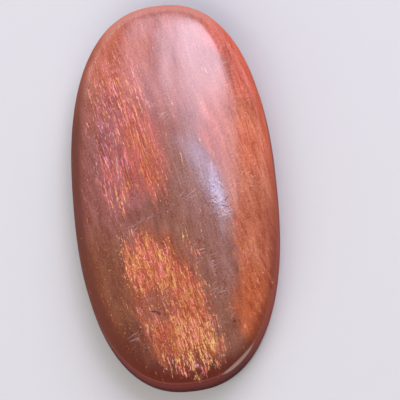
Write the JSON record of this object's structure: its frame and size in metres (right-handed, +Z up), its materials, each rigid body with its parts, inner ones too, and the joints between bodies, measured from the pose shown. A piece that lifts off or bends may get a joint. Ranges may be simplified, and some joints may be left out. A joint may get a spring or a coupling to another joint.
{
  "type": "sunstone cabochon",
  "caption": "Oval cabochon of polished sunstone with a domed top, a plain girdle wall and a flat back, for a bezel setting or for glueing to a backing.",
  "frame": {"origin": "middle of the flat back", "axes": "+Z up out of the domed top, +Y along the stone's length, +X across it"},
  "size_m": [0.0268, 0.0532, 0.0092],
  "materials": {
    "sunstone": "high polish over translucent orange brown feldspar with coppery glitter streaks"
  },
  "bodies": {
    "root": {"stone": "sunstone"}
  },
  "joints": []
}
